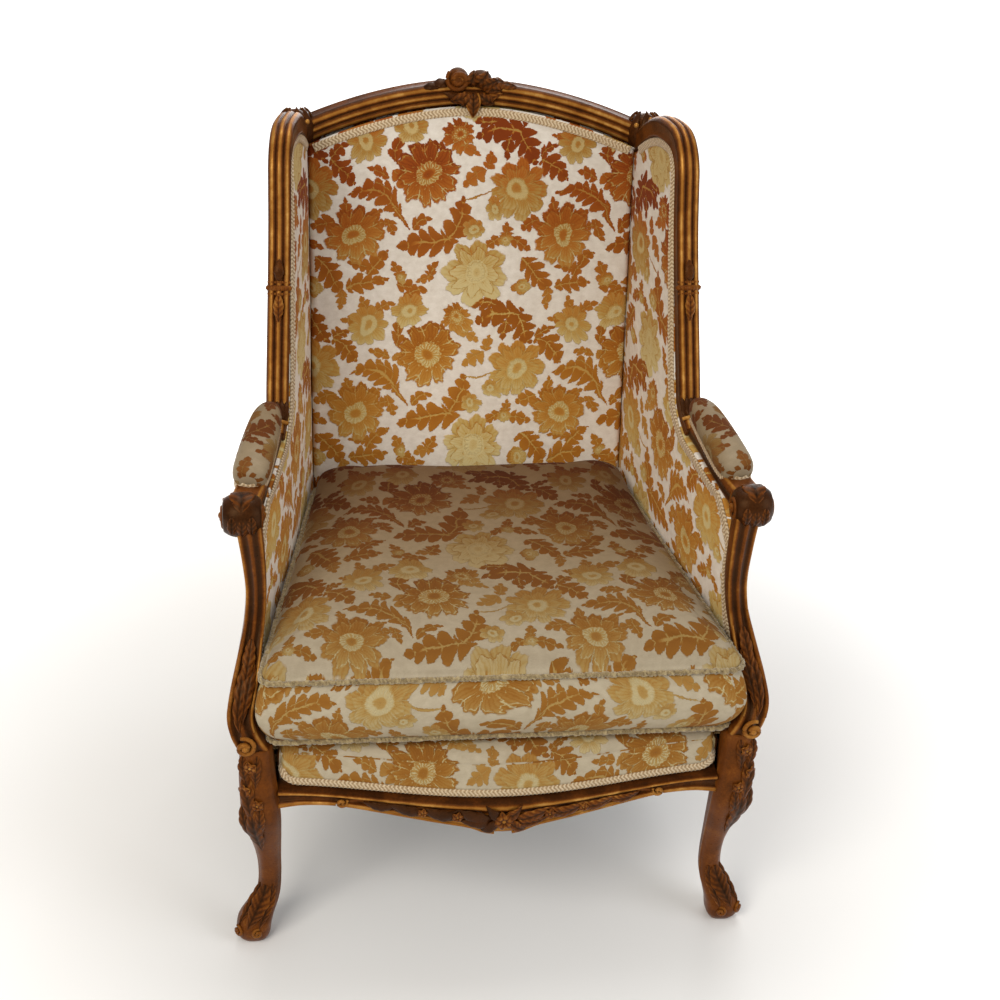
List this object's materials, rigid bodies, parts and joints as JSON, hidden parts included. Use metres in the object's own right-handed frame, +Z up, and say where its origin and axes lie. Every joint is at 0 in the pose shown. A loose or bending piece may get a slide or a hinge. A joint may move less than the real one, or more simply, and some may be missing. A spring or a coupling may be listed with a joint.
{
  "type": "wing armchair",
  "caption": "Wing armchair with a carved and gilded frame, closed upholstered arms, a high padded back, cabriole front legs and a loose seat cushion.",
  "frame": {"origin": "on the floor, under the middle of the chair's bounding box", "axes": "+Z up; the sitter looks along -Y, so the back is towards +Y and -X is left as seen from the front"},
  "size_m": [0.7254, 0.7526, 1.0581],
  "materials": {
    "gilded_wood": "carved, gilded and worn",
    "bare_beech": "bare, sawn",
    "jute": "plain woven",
    "velvet": "cut velvet with a floral pattern on a satin ground",
    "worn_velvet": "the same velvet, worn",
    "cambric": "plain woven, thin",
    "spring_steel": "drawn wire"
  },
  "bodies": {
    "chair": {"crest_rail": "gilded_wood", "right_back_post": "gilded_wood", "left_back_post": "gilded_wood", "right_wing_rail": "gilded_wood", "left_wing_rail": "gilded_wood", "right_arm_rail": "gilded_wood", "left_arm_rail": "gilded_wood", "right_arm_support": "gilded_wood", "left_arm_support": "gilded_wood", "right_front_leg": "gilded_wood", "left_front_leg": "gilded_wood", "front_seat_rail": "gilded_wood", "right_side_seat_rail": "gilded_wood", "left_side_seat_rail": "gilded_wood", "rear_seat_rail": "gilded_wood", "lower_back_rail": "bare_beech", "right_side_tack_rail": "bare_beech", "left_side_tack_rail": "bare_beech", "right_front_corner_block": "bare_beech", "left_front_corner_block": "bare_beech", "right_rear_corner_block": "bare_beech", "left_rear_corner_block": "bare_beech", "seat_webbing": "jute", "seat_hessian": "jute", "back_webbing": "jute", "seat_deck": "velvet", "inside_back_pad": "velvet", "outside_back_cover": "velvet", "right_inside_side_pad": "velvet", "left_inside_side_pad": "velvet", "right_outside_wing_cover": "velvet", "left_outside_wing_cover": "velvet", "right_outside_arm_cover": "velvet", "left_outside_arm_cover": "velvet", "right_arm_pad": "velvet", "left_arm_pad": "velvet", "dust_cover": "cambric", "seat_spring_1": "spring_steel", "seat_spring_2": "spring_steel", "seat_spring_3": "spring_steel", "seat_spring_4": "spring_steel", "seat_spring_5": "spring_steel", "seat_spring_6": "spring_steel", "seat_spring_7": "spring_steel", "seat_spring_8": "spring_steel", "seat_spring_9": "spring_steel"},
    "cushion": {"seat_cushion": "worn_velvet"}
  },
  "joints": [
    {"name": "cushion_lift", "type": "slide", "parent": "chair", "child": "cushion", "axis": [0, 0, 1], "range_m": [0, 0.4]}
  ]
}
